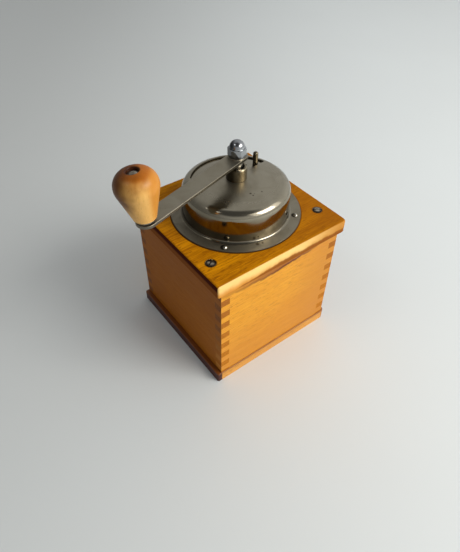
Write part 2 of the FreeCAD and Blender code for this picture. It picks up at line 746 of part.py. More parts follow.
def make_burrs():
    """The toothed ring in the housing and the toothed cone on the shaft."""
    teeth = dims.burr_teeth
    half = dims.tooth_half
    ring_low = dims.housing_end
    ring = make_turned("outer_burr", [
        (dims.ring_burr_narrow, ring_low), (dims.burr_seat - dims.running_gap, ring_low),
        (dims.burr_seat - dims.running_gap, dims.ring_burr_top),
        (dims.ring_burr_wide, dims.ring_burr_top)])
    groove = new_sketch(ring, "groove", "XY_Plane", dims.ring_burr_top)
    mouth = dims.ring_burr_narrow - dims.tooth_margin
    outline(groove, [(mouth, -half), (dims.ring_burr_wide + dims.ring_tooth_depth, 0),
                     (mouth, half)])
    polar(ring, [pocket(ring, groove, dims.ring_burr_top - ring_low)], teeth)

    cone = make_turned("inner_burr", [
        (dims.stud_radius + dims.fit_gap, dims.cone_end), (dims.cone_wide, dims.cone_end),
        (dims.cone_narrow, dims.cone_top), (dims.stud_radius + dims.fit_gap, dims.cone_top)])
    flute = new_sketch(cone, "flute", "XY_Plane", dims.cone_top)
    mouth = dims.cone_wide + dims.tooth_margin / 2
    outline(flute, [(mouth, -half), (mouth, half),
                    (dims.cone_narrow - dims.cone_tooth_depth, 0)])
    polar(cone, [pocket(cone, flute, dims.cone_top - dims.cone_end)], teeth)
    hole = new_sketch(cone, "pin_hole", "XZ_Plane", dims.cone_wide)
    circle(hole, 0, dims.burr_pin_height, dims.burr_pin_radius + dims.fit_gap)
    pocket(cone, hole, dims.cone_wide * 2)


def make_bridge():
    """The bar under the housing, with the shaft's lower bearing in its boss."""
    top = dims.housing_end
    low = top - dims.bridge_thick
    bridge = new_body("lower_bridge")
    sketch = new_sketch(bridge, "outline", "XY_Plane", low)
    half = dims.bridge_width / 2
    end = dims.lug_orbit
    outline(sketch, [(-end, -half, half, 1), (end, -half), (end + half, 0, half, 1),
                     (end, half, half, 1), (-end, half), (-(end + half), 0, half, 1)])
    pad(bridge, sketch, dims.bridge_thick)
    boss = new_sketch(bridge, "boss", "XY_Plane", dims.boss_end)
    circle(boss, 0, 0, dims.boss_radius)
    pad(bridge, boss, low - dims.boss_end)
    bore = new_sketch(bridge, "bore", "XY_Plane", top)
    circle(bore, 0, 0, dims.stud_radius + dims.running_gap)
    pocket(bridge, bore, top - dims.bore_step)
    tapped = new_sketch(bridge, "tapped", "XY_Plane", dims.bore_step)
    circle(tapped, 0, 0, dims.adjuster_shank + dims.running_gap)
    pocket(bridge, tapped, dims.bore_step - dims.boss_end)
    holes = new_sketch(bridge, "screw_holes", "XY_Plane", top)
    for sign in (-1, 1):
        circle(holes, dims.lug_orbit * sign, 0, dims.screw_shank + dims.hole_gap)
    pocket(bridge, holes, dims.bridge_thick)

    screws = new_body("bridge_screws")
    section = new_sketch(screws, "section", "XZ_Plane")
    orbit = dims.lug_orbit
    tip = top + dims.lug_top - dims.housing_end - dims.bridge_screw_short
    head = low - dims.bridge_screw_head
    outline(section, [(orbit, head), (orbit + dims.screw_head, head),
                      (orbit + dims.screw_head, low), (orbit + dims.screw_shank, low),
                      (orbit + dims.screw_shank, tip), (orbit, tip)])
    polar(screws, [turn_profile(screws, section, axis="Edge6")], 2)


def make_adjuster():
    thrust_low = dims.journal_end - dims.thrust_thick
    make_turned("thrust_disc", [
        (0, thrust_low), (dims.thrust_radius, thrust_low),
        (dims.thrust_radius, dims.journal_end), (0, dims.journal_end)])
    adjuster = make_turned("grind_adjuster", [
        (0, dims.adjuster_end), (dims.adjuster_head, dims.adjuster_end),
        (dims.adjuster_head, dims.adjuster_top), (dims.adjuster_shank, dims.adjuster_top),
        (dims.adjuster_shank, thrust_low), (0, thrust_low)])
    knurl = new_sketch(adjuster, "knurl", "XY_Plane", dims.adjuster_top)
    circle(knurl, dims.adjuster_head + dims.knurl_depth, 0, dims.knurl_depth * 2)
    polar(adjuster, [pocket(adjuster, knurl, dims.adjuster_top - dims.adjuster_end)],
          dims.knurl_count)


def make_spring():
    """The compression spring between the collar's neck and the seat on the shaft."""
    wire = dims.spring_wire
    low = dims.seat_base + dims.seat_height * 2 + wire
    spring = new_body("pressure_spring")
    sketch = new_sketch(spring, "wire", "XZ_Plane")
    circle(sketch, dims.spring_orbit, low, wire)
    helix = spring.newObject("PartDesign::AdditiveHelix", "pressure_spring_coil")
    helix.Profile = sketch
    helix.ReferenceAxis = (sketch, ["V_Axis"])
    helix.Mode = 0
    bind(helix, "Pitch", dims.spring_pitch)
    bind(helix, "Height", dims.neck_end - wire * 1.5 - low)
    spring.Tip = helix

    seat_low = dims.seat_base + dims.seat_height
    seat_high = seat_low + dims.seat_height - dims.running_gap
    bore = dims.shaft_radius + dims.fit_gap
    make_turned("spring_seat", [(bore, seat_low), (dims.seat_radius, seat_low),
                                (dims.seat_radius, seat_high), (bore, seat_high)])


# ---------------------------------------------------------------- crank and handle

def turned_on_crank(body):
    """Turns a part about the shaft's axis to the crank's rest angle."""
    body.Placement = FreeCAD.Placement(
        FreeCAD.Vector(0, 0, 0), FreeCAD.Rotation(dims.crank_angle.value, 0, 0))
    body.setExpression("Placement.Rotation.Angle", dims.crank_angle.text)


def placed_on_handle(body):
    """Moves a turned part to the handle's leaning axis, its zero height to the arm's top."""
    x = dims.arm_reach * cosine(dims.crank_angle)
    y = dims.arm_reach * sine(dims.crank_angle)
    lean_x = -sine(dims.lean_way)
    lean_y = cosine(dims.lean_way)
    body.Placement = FreeCAD.Placement(
        FreeCAD.Vector(x.value, y.value, arm_top.value),
        FreeCAD.Rotation(FreeCAD.Vector(lean_x.value, lean_y.value, 0), dims.knob_lean.value))
    for name, size in (("Base.x", x), ("Base.y", y), ("Base.z", arm_top),
                       ("Rotation.Angle", dims.knob_lean), ("Rotation.Axis.x", lean_x),
                       ("Rotation.Axis.y", lean_y)):
        body.setExpression("Placement." + name, size.text)


def flat_sided_bore(sketch, radius, half):
    """A round hole with two flats, square to Y."""
    reach = root(radius * radius - half * half)
    outline(sketch, [(-reach, -half, radius, 1), (reach, -half),
                     (reach, half, radius, 1), (-reach, half)])


def make_crank():
    collar_low = dims.seat_base
    shoulder = dims.shaft_radius + 1
    shaft = make_turned("crank_shaft", [
        (0, dims.journal_end), (dims.stud_radius, dims.journal_end),
        (dims.stud_radius, dims.cone_top), (dims.shaft_radius, dims.cone_top),
        (dims.shaft_radius, collar_low), (shoulder, collar_low),
        (shoulder, collar_low + dims.seat_height),
        (dims.shaft_radius, collar_low + dims.seat_height),
        (dims.shaft_radius, dims.arm_base), (dims.stud_radius, dims.arm_base),
        (dims.stud_radius, dims.stud_end), (0, dims.stud_end)])
    flats = new_sketch(shaft, "flats", "XY_Plane", dims.arm_base)
    for sign in (-1, 1):
        rectangle(flats, -dims.shaft_radius, dims.flat_half * sign,
                  dims.shaft_radius, dims.shaft_radius * sign)
    pocket(shaft, flats, dims.arm_thick, backwards=True)
    hole = new_sketch(shaft, "pin_hole", "XZ_Plane", dims.shaft_radius)
    circle(hole, 0, dims.burr_pin_height, dims.burr_pin_radius + dims.fit_gap)
    pocket(shaft, hole, dims.shaft_radius * 2)

    arm = new_body("crank_arm")
    bar = new_sketch(arm, "outline", "XY_Plane", dims.arm_base)
    half = dims.arm_width / 2
    tail = half - dims.arm_tail
    outline(bar, [(tail, -half, half, 1), (dims.arm_reach, -half),
                  (dims.arm_reach + half, 0, half, 1), (dims.arm_reach, half, half, 1),
                  (tail, half), (tail - half, 0, half, 1)])
    pad(arm, bar, dims.arm_thick)
    round_edges(arm, lambda edge: is_level_at(edge, arm_top) or is_level_at(edge, dims.arm_base),
                dims.arm_edge)
    stud_hole = new_sketch(arm, "stud_hole", "XY_Plane", arm_top)
    flat_sided_bore(stud_hole, dims.stud_radius + dims.fit_gap, dims.flat_half + dims.fit_gap)
    pocket(arm, stud_hole, dims.arm_thick)
    spindle_hole = new_sketch(arm, "spindle_hole", "XY_Plane", arm_top)
    circle(spindle_hole, dims.arm_reach, 0, dims.spindle_radius + dims.lean_clearance)
    pocket(arm, spindle_hole, dims.arm_thick)

    washer_top = arm_top + dims.washer_thick
    bore = dims.stud_radius + dims.fit_gap
    make_turned("arm_washer", [(bore, arm_top), (dims.washer_radius, arm_top),
                               (dims.washer_radius, washer_top), (bore, washer_top)])
    make_cap_nut(washer_top, bore)

    pin = new_body("burr_pin")
    section = new_sketch(pin, "section", "XZ_Plane", -dims.cone_narrow)
    circle(section, 0, dims.burr_pin_height, dims.burr_pin_radius)
    pad(pin, section, dims.cone_narrow * 2)
    for label in ("crank_shaft", "crank_arm", "cap_nut", "inner_burr", "burr_pin"):
        turned_on_crank(document.getObject(label))


def make_cap_nut(low, bore):
    nut = new_body("cap_nut")
    corner_radius = dims.nut_flats / 2 / cosine(as_size(30))
    hexagon = new_sketch(nut, "hexagon", "XY_Plane", low)
    corners = []
    for step in range(6):
        angle = as_size(60 * step)
        corners.append((corner_radius * cosine(angle), corner_radius * sine(angle)))
    outline(hexagon, corners)
    pad(nut, hexagon, dims.nut_height)
    shoulder = low + dims.nut_height
    for name, edge, slope in (("lower", low, 1), ("upper", shoulder, -1)):
        bevel = new_sketch(nut, name + "_bevel", "XZ_Plane")
        rim = corner_radius + 0.5
        outline(bevel, [(dims.nut_flats / 2, edge), (rim, edge),
                        (rim, edge + (rim - dims.nut_flats / 2) * dims.nut_bevel * slope)])
        turn_profile(nut, bevel, cut=True)
    cap = new_sketch(nut, "cap", "XZ_Plane")
    outline(cap, [(0, shoulder - 1), (dims.nut_dome, shoulder - 1),
                  (dims.nut_dome, dims.nut_top - dims.nut_dome),
                  (0, dims.nut_top, dims.nut_dome, 1)])
    turn_profile(nut, cap)
    thread = new_sketch(nut, "bore", "XY_Plane", low)
    circle(thread, 0, 0, bore)
    pocket(nut, thread, dims.stud_end - low + dims.end_gap, backwards=True)


def make_handle():
    """The knob on its spindle, drawn upright from the arm's top."""
    washer_low = dims.lean_gap
    washer_top = washer_low + dims.washer_thick
    foot = washer_top + dims.knob_rise
    soft = dims.foot_soft
    bore = dims.spindle_radius + dims.running_gap
    top = dims.knob_top
    floor = top - dims.recess_depth
    washer_bore = dims.spindle_radius + dims.fit_gap
    pieces = [make_turned("handle_washer", [
        (washer_bore, washer_low), (dims.washer_radius, washer_low),
        (dims.washer_radius, washer_top), (washer_bore, washer_top)])]
    lip = dims.knob_recess + dims.lip_soft
    pieces.append(make_turned("handle_knob", [
        (bore, foot), (dims.knob_foot - soft, foot), (dims.knob_foot, foot + soft, soft, 1),
        (dims.knob_flare, top - dims.flare_drop), (lip, top - dims.lip_drop, dims.knob_crown, 1),
        (dims.knob_recess, top - dims.lip_drop - dims.head_edge, dims.lip_soft, 1),
        (dims.knob_recess, floor), (bore, floor)]))

    # The spindle's neck is riveted over a washer that stands clear of the recess's floor.
    ledge = floor + dims.knob_rise
    head_low = ledge + dims.washer_thick
    neck_bore = dims.spindle_neck + dims.fit_gap
    pieces.append(make_turned("end_washer", [
        (neck_bore, ledge), (dims.end_washer, ledge),
        (dims.end_washer, head_low), (neck_bore, head_low)]))
    rivet_low = -(dims.arm_thick + dims.lean_gap)
    head_high = head_low + dims.head_edge
    pieces.append(make_turned("handle_spindle", [
        (0, rivet_low - dims.rivet_thick),
        (dims.rivet_radius, rivet_low, cap_radius(dims.rivet_radius, dims.rivet_thick), 1),
        (dims.spindle_radius, rivet_low), (dims.spindle_radius, ledge),
        (dims.spindle_neck, ledge), (dims.spindle_neck, head_low),
        (dims.spindle_head, head_low), (dims.spindle_head, head_high),
        (0, head_high + dims.head_crown, cap_radius(dims.spindle_head, dims.head_crown), 1)]))
    for piece in pieces:
        placed_on_handle(piece)


# ---------------------------------------------------------------- wood screws and nails

def make_board_screws(label, x, y, face, upwards, crown):
    """Four slotted countersunk wood screws, whose heads lie in the face of a board."""
    screws = new_body(label)
    sketch = new_sketch(screws, "section", "XZ_Plane", -y)
    sign = 1 if upwards else -1
    neck = dims.screw_head - dims.screw_shank
    face = as_size(face)
    end = face + dims.screw_length * sign
    tip = (x, face)
    if crown:
        tip = (x, face + crown, cap_radius(dims.screw_head, crown), 1)
    outline(sketch, [(x, end), (x + dims.screw_shank, end),
                     (x + dims.screw_shank, face + neck * sign),
                     (x + dims.screw_head, face), tip])
    head = turn_profile(screws, sketch, axis="Edge5")
    slot = new_sketch(screws, "slot", "XY_Plane", tip[1])
    along = dims.screw_head * 1.1
    half = dims.slot_width / 2
    across, up = cosine(dims.slot_angle), sine(dims.slot_angle)
    corners = []
    for reach, offset in ((-along, -half), (along, -half), (along, half), (-along, half)):
        corners.append((x + reach * across - offset * up, y + reach * up + offset * across))
    outline(slot, corners)
    cut = pocket(screws, slot, dims.slot_depth, backwards=upwards)
    at_four_corners(screws, [head, cut])


def make_flange_pins():
    """Four domed nails through the flange into the top board."""
    pins = new_body("flange_pins")
    sketch = new_sketch(pins, "section", "XZ_Plane")
    orbit = dims.nail_orbit
    head = dims.nail_head
    rim = deck + dims.sheet_thick
    end = deck - dims.nail_length
    outline(sketch, [(orbit, end), (orbit + dims.nail_shank, end),
                     (orbit + dims.nail_shank, rim), (orbit + head, rim),
                     (orbit, rim + dims.nail_crown, cap_radius(head, dims.nail_crown), 1)])
    polar(pins, [turn_profile(pins, sketch, axis="Edge5")], 4)
    pins.Placement = FreeCAD.Placement(
        FreeCAD.Vector(0, 0, 0), FreeCAD.Rotation(dims.nail_angle.value, 0, 0))
    pins.setExpression("Placement.Rotation.Angle", dims.nail_angle.text)


# ---------------------------------------------------------------- assembly

make_box()
make_board_screws("base_screws", half_wide - dims.panel_thick / 2, dims.top_screw_y, 0, True,
                  None)
make_board_screws("top_screws", dims.top_screw_x, dims.top_screw_y, deck, False,
                  dims.screw_crown)
make_drawer()
make_drawer_pull()
make_dome()
make_flange_pins()
make_shutter()
make_collar()
make_housing()
make_housing_screws()
make_burrs()
make_bridge()
make_adjuster()
make_spring()
make_crank()
make_handle()
document.recompute()

faults = []
for thing in document.Objects:
    if "Invalid" in thing.State or "Error" in thing.State:
        faults.append("%s is %s" % (thing.Label, thing.State))
for part in sub_parts:
    if part.Shape.isNull() or not part.Shape.isValid():
        faults.append(part.Label + " has no valid shape")
if faults:
    raise RuntimeError("; ".join(faults))

os.makedirs("parts", exist_ok=True)
for part in sub_parts:
    part.Shape.exportStep("parts/%s.step" % part.Label)
    print("%-20s %3d solid(s) %10.1f mm3" % (
        part.Label, len(part.Shape.Solids), part.Shape.Volume))
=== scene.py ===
import math

import bpy
from mathutils import Matrix, Vector


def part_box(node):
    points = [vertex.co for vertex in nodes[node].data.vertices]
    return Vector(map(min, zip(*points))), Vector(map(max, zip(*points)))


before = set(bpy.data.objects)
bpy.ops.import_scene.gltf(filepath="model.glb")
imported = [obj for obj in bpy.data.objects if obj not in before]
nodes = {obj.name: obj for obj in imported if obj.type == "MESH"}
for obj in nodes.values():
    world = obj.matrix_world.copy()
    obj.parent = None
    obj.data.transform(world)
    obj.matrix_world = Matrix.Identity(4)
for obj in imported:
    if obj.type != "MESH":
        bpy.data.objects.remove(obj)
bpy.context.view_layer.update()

# Level directions towards the window that lights the mill, and away from it.
to_window = Vector((-0.8, 0.6, 0.0))
from_window = -to_window


# ---------------------------------------------------------------- shader helpers

def rgb(red, green, blue):
    """A colour given as on a screen, 0 to 255 a channel, as a linear one."""
    def linear(value):
        value = value / 255
        return value / 12.92 if value <= 0.04045 else ((value + 0.055) / 1.055) ** 2.4
    return (linear(red), linear(green), linear(blue), 1)


class Graph:
    """A node tree under construction."""

    def __init__(self, tree):
        self.tree = tree

    def add(self, kind, inputs=None, **settings):
        """A new shader node, with its settings and what goes into its inputs."""
        node = self.tree.nodes.new("ShaderNode" + kind)
        for name, value in settings.items():
            setattr(node, name, value)
        for key, value in (inputs or {}).items():
            self.feed(node.inputs[key], value)
        return node

    def feed(self, socket, value):
        """Link an output to an input, or set the input's value."""
        if isinstance(value, bpy.types.NodeSocket):
            self.tree.links.new(value, socket)
        else:
            socket.default_value = value

    def vector(self, operation, first, second):
        node = self.add("VectorMath", {0: first, 1: second}, operation=operation)
        return node.outputs["Vector"]

    def dot(self, first, second):
        node = self.add("VectorMath", {0: first, 1: second}, operation="DOT_PRODUCT")
        return node.outputs["Value"]

    def split(self, socket):
        return self.add("SeparateXYZ", {0: socket}).outputs[:]

    def math(self, operation, first, second=0.0):
        return self.add("Math", {0: first, 1: second}, operation=operation).outputs[0]

    def plus(self, first, second):
        return self.math("ADD", first, second)

    def minus(self, first, second):
        return self.math("SUBTRACT", first, second)

    def times(self, first, second):
        return self.math("MULTIPLY", first, second)

    def absolute(self, value):
        return self.math("ABSOLUTE", value)

    def length(self, first, second):
        """The length of a vector with these two parts."""
        squares = self.plus(self.times(first, first), self.times(second, second))
        return self.math("SQRT", squares)

    def ramp(self, value, start, end, low=0.0, high=1.0, curve="SMOOTHSTEP"):
        """From low to high while the value goes from start to end."""
        node = self.add("MapRange", {0: value, 1: start, 2: end, 3: low, 4: high},
                        interpolation_type=curve)
        return node.outputs[0]

    def blend(self, amount, first, second):
        """From the first colour to the second while the amount goes from 0 to 1."""
        node = self.add("Mix", {0: amount, 6: first, 7: second}, data_type="RGBA")
        return node.outputs[2]


class Look(Graph):
    """A material under construction. Its lengths are millimetres in the row frame."""

    def __init__(self, name):
        self.material = bpy.data.materials.new(name)
        self.material.use_nodes = True
        super().__init__(self.material.node_tree)
        self.tree.nodes.clear()
        self.shader = self.add("BsdfPrincipled")
        output = self.add("OutputMaterial")
        self.tree.links.new(self.shader.outputs["BSDF"], output.inputs["Surface"])
        source = self.add("TexCoord")
        self.facing = source.outputs["Normal"]
        self.place = self.vector("MULTIPLY", source.outputs["Object"], (1000, 1000, 1000))
        self.x, self.y, self.z = self.split(self.place)

    def turned(self, axis):
        """How squarely a face looks along an axis, either way: 0 for not at all, 1 for fully."""
        return self.absolute(self.split(self.facing)[axis])

    def noise(self, scale, detail=3.0, place=None, rough=0.55, warp=0.0):
        """Noise with this many features a millimetre."""
        place = self.place if place is None else place
        node = self.add("TexNoise", {"Vector": place, "Scale": scale, "Detail": detail,
                                     "Roughness": rough, "Distortion": warp})
        return node.outputs["Fac"]

    def radius(self, x=0.0, y=0.0):
        """The distance from an upright axis at (x, y)."""
        return self.length(self.minus(self.x, x), self.minus(self.y, y))

    def reach(self, direction, x=0.0, y=0.0):
        """How far a place lies from an upright axis at (x, y), in a level direction."""
        return self.plus(self.times(self.minus(self.x, x), direction.x),
                         self.times(self.minus(self.y, y), direction.y))

    def spot(self, point, size, soft):
        """1 inside a ball about a point, fading to 0 over its outer part, soft."""
        gap = self.add("VectorMath", {0: self.place, 1: point}, operation="DISTANCE")
        return self.ramp(gap.outputs["Value"], size * (1 - soft), size, 1.0, 0.0)

    def stain(self, colour, points, soft, amount, ink):
        """Round stains of one colour, from a list of their centres and radii."""
        for point, size in points:
            colour = self.blend(self.times(self.spot(point, size, soft), amount), colour, ink)
        return colour

    def bump(self, height, strength, depth):
        """A bump with this depth in millimetres."""
        node = self.add("Bump", {"Strength": strength, "Distance": depth / 1000,
                                 "Height": height})
        self.feed(self.shader.inputs["Normal"], node.outputs["Normal"])

    def shade(self, **sockets):
        """Feed the shader's own sockets, and give the finished material."""
        for key, value in sockets.items():
            self.feed(self.shader.inputs[key.replace("_", " ")], value)
        return self.material


# ---------------------------------------------------------------- materials

def darker(colour, red, green, blue):
    """A colour with each channel scaled."""
    return (colour[0] * red, colour[1] * green, colour[2] * blue, 1)


def make_wood(name, grain, pale, deep, end, rough=0.45, coat=0.15, specular=0.25, marks=None,
              contrast=1.0, density=0.85):
    """Varnished beech with its grain along axis 0, 1 or 2, and end grain where it is cut.

    pale, deep and end are the colours between the fibres, of the fibres and of the end grain.
    rough is the roughness, coat the coat's weight and specular the specular level. contrast
    and density set how strong and how fine the fibres are. marks repaints the colour.
    """
    look = Look(name)
    stretch = [1.0, 1.0, 1.0]
    stretch[grain] = 0.035
    drift = look.vector("MULTIPLY", look.place, (0.02, 0.02, 0.02))
    wander = look.add("TexNoise", {"Vector": drift, "Scale": 1.0, "Detail": 1.0})
    shift = look.vector("MULTIPLY", look.vector("SUBTRACT", wander.outputs["Color"],
                                                (0.5, 0.5, 0.5)), (5, 5, 5))
    fibres = look.vector("ADD", look.vector("MULTIPLY", look.place, stretch), shift)
    fine = look.noise(density, 4, fibres, 0.65)
    bands = look.noise(0.14, 2, fibres, 0.5)
    stretch[grain] = 0.16
    short = look.vector("MULTIPLY", look.place, stretch)
    flecks = look.ramp(look.noise(1.1, 2, short), 0.56, 0.68)
    patches = look.noise(0.025, 3)
    mix = look.plus(look.times(look.ramp(fine, 0.32, 0.68), 0.6 * contrast),
                    look.times(look.ramp(bands, 0.3, 0.7), 0.4 * contrast))
    colour = look.blend(mix, pale, deep)
    colour = look.blend(look.times(flecks, 0.5 * contrast), colour,
                        darker(deep, 0.5, 0.42, 0.35))
    colour = look.blend(look.ramp(patches, 0.35, 0.7, 0.0, 0.35), colour, deep)
    cut = look.ramp(look.turned(grain), 0.7, 0.92)
    pores = look.blend(look.ramp(look.noise(1.4, 3), 0.35, 0.65), end,
                       darker(end, 0.7, 0.65, 0.6))
    colour = look.blend(cut, colour, pores)
    if marks is not None:
        colour = marks(look, colour)
    finish = look.plus(look.ramp(fine, 0.2, 0.8, rough - 0.05, rough + 0.07),
                       look.times(cut, 0.15))
    look.bump(look.minus(fine, look.times(flecks, 0.6)), 0.35, 0.1)
    return look.shade(Base_Color=colour, Roughness=finish, Coat_Weight=coat,
                      Coat_Roughness=0.2, Specular_IOR_Level=specular)


def make_metal(name, colour, dull, rough, grime=0.35, scale=0.06, marks=None, polish=None,
               relief=0.012):
    """Metal with cloudy tarnish, fine pits and uneven polish.

    dull is the tarnish's colour, grime its amount and scale its fineness. rough is the
    roughness and relief the depth of the surface in millimetres. marks repaints the colour,
    and polish scales the roughness from place to place.
    """
    look = Look(name)
    clouds = look.noise(scale, 4, warp=0.6)
    fine = look.noise(1.6, 3)
    tint = look.blend(look.times(look.ramp(clouds, 0.35, 0.68), grime), colour, dull)
    pits = look.ramp(look.noise(0.5, 2), 0.71, 0.76)
    tint = look.blend(look.times(pits, 0.55), tint, darker(dull, 0.35, 0.28, 0.22))
    if marks is not None:
        tint = marks(look, tint)
    finish = look.plus(look.ramp(clouds, 0.3, 0.7, rough * 0.85, rough * 1.2),
                       look.ramp(fine, 0.3, 0.7, -0.015, 0.02))
    if polish is not None:
        finish = look.times(finish, polish(look))
    look.bump(look.plus(fine, look.times(clouds, 3.0)), 0.3, relief)
    return look.shade(Base_Color=tint, Roughness=finish, Metallic=1.0)


def corners_of(name):
    """A node's lowest and highest corner in millimetres."""
    return [corner * 1000 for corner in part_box(name)]


# Places that the marks are measured from, in millimetres.
board_low, board_high = corners_of("top_board")
box_high = corners_of("back_panel")[1]
base_high = corners_of("base_board")[1]
dome_low, dome_high = corners_of("dome_cover")
dome_edge = dome_high.x
flange_top = dome_low.z + 1
screw_high = corners_of("top_screws")[1]
screw_head = 4.1
screw_x, screw_y = screw_high.x - screw_head, screw_high.y - screw_head
nail_orbit, nail_turn, nail_count = 48.6, 43, 4


def from_screws(look):
    """The distance from the axis of the nearest top screw."""
    return look.length(look.minus(look.absolute(look.x), screw_x),
                       look.minus(look.absolute(look.y), screw_y))


def away(look, start, end, amount):
    """How far a face turns away from the window's side."""
    return look.ramp(look.dot(look.facing, from_window), start, end, 0.0, amount)


def screw_shade_marks(look, colour):
    """Painted shade, with some dirt, blackens the heads at the rim and in the slot, leaving them
    bright in the middle.
    """
    rim = look.ramp(from_screws(look), 1.5, 3.3, 0.0, 0.92)
    slot = look.ramp(look.z, screw_high.z - 1.2, screw_high.z - 0.9, 0.8, 0.0)
    return look.blend(look.math("MAXIMUM", rim, slot), colour, rgb(36, 27, 18))


def painted_edge_light(look):
    """The top board's long edges: a painted highlight on their upper part, darker towards the far
    end, and painted shade, dark and wavy, on their lower part.
    """
    waver = look.noise(0.09, 3, look.vector("MULTIPLY", look.place, (1, 0, 0.4)))
    height = look.plus(look.z, look.ramp(waver, 0.3, 0.7, -1.2, 1.2))
    # Painted highlight: the upper part of the edge is made pale.
    colour = look.blend(look.ramp(height, board_low.z + 1.0, board_high.z - 3.0),
                        rgb(222, 150, 64), rgb(255, 212, 132))
    far = look.ramp(look.x, 0.0, -board_high.x, 0.0, 0.9)
    colour = look.blend(far, colour, rgb(190, 122, 36))
    undercut = look.ramp(look.x, 60.0, -5.0, board_low.z + 0.2, board_low.z + 4.2)
    wavy = look.plus(look.z, look.ramp(waver, 0.3, 0.7, -0.6, 0.6))
    # Painted shade on the lower part of the edge, which turns under.
    under = look.ramp(look.minus(wavy, undercut), -1.2, 0.8, 0.9, 0.0)
    return look.blend(under, colour, rgb(140, 78, 24))


def top_board_marks(look, colour):
    """Painted shade, with some dirt, round the flange, a painted shadow round each screw head, and
    the long edges given a painted highlight and painted shade.
    """
    # Painted shade, with some dirt, in a dark ring where the flange sits on the board.
    ring = look.ramp(look.radius(), dome_edge + 0.3, dome_edge + 1.2, 0.9, 0.0)
    colour = look.blend(ring, colour, rgb(45, 25, 8))
    # Painted shadow in a ring round each screw head.
    halo = look.ramp(from_screws(look), screw_head + 0.1, screw_head + 1.0, 0.85, 0.0)
    colour = look.blend(halo, colour, rgb(50, 26, 8))
    end = look.ramp(look.turned(0), 0.75, 0.95)
    lower = look.ramp(look.z, board_low.z + 6.5, board_low.z + 4.0)
    colour = look.blend(look.times(end, lower), colour, rgb(128, 72, 28))
    colour = look.blend(look.ramp(look.x, 10.0, -60.0, 0.0, 0.6), colour, rgb(158, 90, 8))
    # The long edges get a painted highlight above and painted shade below.
    return look.blend(look.ramp(look.turned(1), 0.25, 0.6), colour, painted_edge_light(look))


def back_marks(look, colour):
    """A dark stain line that dips towards one corner, under painted shade along the upper edge,
    with a painted contact shadow right under the top board and painted shade that darkens the
    panel towards the bottom.
    """
    dip = look.times(look.absolute(look.minus(look.x, 20.0)), 0.088)
    wave = look.noise(0.06, 4, look.vector("MULTIPLY", look.place, (1, 0, 0)))
    line = look.plus(look.plus(dip, box_high.z - 9.6), look.ramp(wave, 0.25, 0.75, -1.5, 1.5))
    above = look.minus(look.z, line)
    # Painted shade under the top board's overhang.
    shaded = look.times(look.ramp(above, -0.8, 2.5, 0.0, 0.85),
                        look.ramp(look.x, 60.0, 10.0, 0.3, 1.0))
    colour = look.blend(shaded, colour, rgb(160, 92, 26))
    stain = look.times(look.ramp(above, -1.7, -0.2), look.ramp(above, 0.6, 2.4, 1.0, 0.0))
    stain = look.times(stain, look.ramp(look.x, 56.0, -10.0, 0.25, 1.0))
    colour = look.blend(stain, colour, rgb(104, 44, 12))
    second = look.times(look.ramp(above, 2.0, 2.8), look.ramp(above, 3.4, 4.4, 1.0, 0.0))
    second = look.times(second, look.ramp(look.x, 10.0, -40.0, 0.0, 0.7))
    colour = look.blend(second, colour, rgb(120, 54, 18))
    # Painted contact shadow right under the top board.
    contact_shadow = look.ramp(look.z, box_high.z - 2.4, box_high.z - 0.6, 0.0, 0.85)
    colour = look.blend(contact_shadow, colour, rgb(92, 48, 14))
    colour = look.blend(look.ramp(look.x, 0.0, -52.0, 0.0, 0.75), colour, rgb(202, 132, 40))
    # Painted shade: the panel is made darker towards the bottom, as though the light fell off
    # there.
    return look.blend(look.ramp(look.z, 75.0, 12.0, 0.0, 0.6), colour, rgb(206, 132, 42))


def side_marks(look, colour):
    """The varnish has gone greyer towards the top."""
    return look.blend(look.ramp(look.z, 30.0, 105.0, 0.0, 0.5), colour, rgb(142, 86, 40))


def knob_marks(look, colour):
    """The knob is orange at the top and brown on the side away from the window, there partly a
    stain from handling and partly painted shade; painted shade also darkens the recess at the top.
    """
    low, high = corners_of("handle_knob")
    x, y = (low.x + high.x) / 2, (low.y + high.y) / 2
    cloud = look.ramp(look.noise(0.07, 2), 0.3, 0.7, -3.0, 3.0)
    crown = look.times(look.ramp(look.plus(look.z, cloud), high.z - 11, high.z + 1), 0.9)
    colour = look.blend(crown, colour, rgb(168, 92, 4))
    across = look.reach(from_window, x, y)
    # Partly a stain from handling and partly painted shade, on the side away from the window.
    side = look.times(look.ramp(look.plus(across, cloud), -7.0, 8.0),
                      look.ramp(look.z, low.z + 4, low.z + 20, 0.2, 1.0))
    colour = look.blend(look.times(side, 0.95), colour, rgb(88, 44, 1))
    right = look.times(look.ramp(across, -7.0, -11.0), 0.8)
    colour = look.blend(right, colour, rgb(200, 126, 34))
    foot = look.ramp(look.z, low.z + 0.8, low.z + 2.2, 0.8, 0.0)
    colour = look.blend(foot, colour, rgb(70, 36, 12))
    # Painted shade in the recess at the top.
    recess = look.times(look.ramp(look.radius(x + 1.1, y - 0.9), 4.3, 5.2, 1.0, 0.0),
                        look.ramp(look.z, high.z - 7, high.z - 3))
    return look.blend(recess, colour, rgb(66, 32, 14))


def base_marks(look, colour):
    """Dark old varnish on the near end and on the ledge beside the box, a paler far end, and a
    darker seam under the box.
    """
    near = look.ramp(look.x, box_high.x - 0.4, box_high.x + 0.2)
    colour = look.blend(near, colour, rgb(66, 18, 4))
    far = look.ramp(look.x, -box_high.x + 0.6, -box_high.x - 1.0)
    colour = look.blend(far, colour, rgb(170, 104, 40))
    seam = look.times(look.ramp(look.z, base_high.z - 1.8, base_high.z - 0.3), 0.75)
    return look.blend(seam, colour, rgb(126, 70, 20))


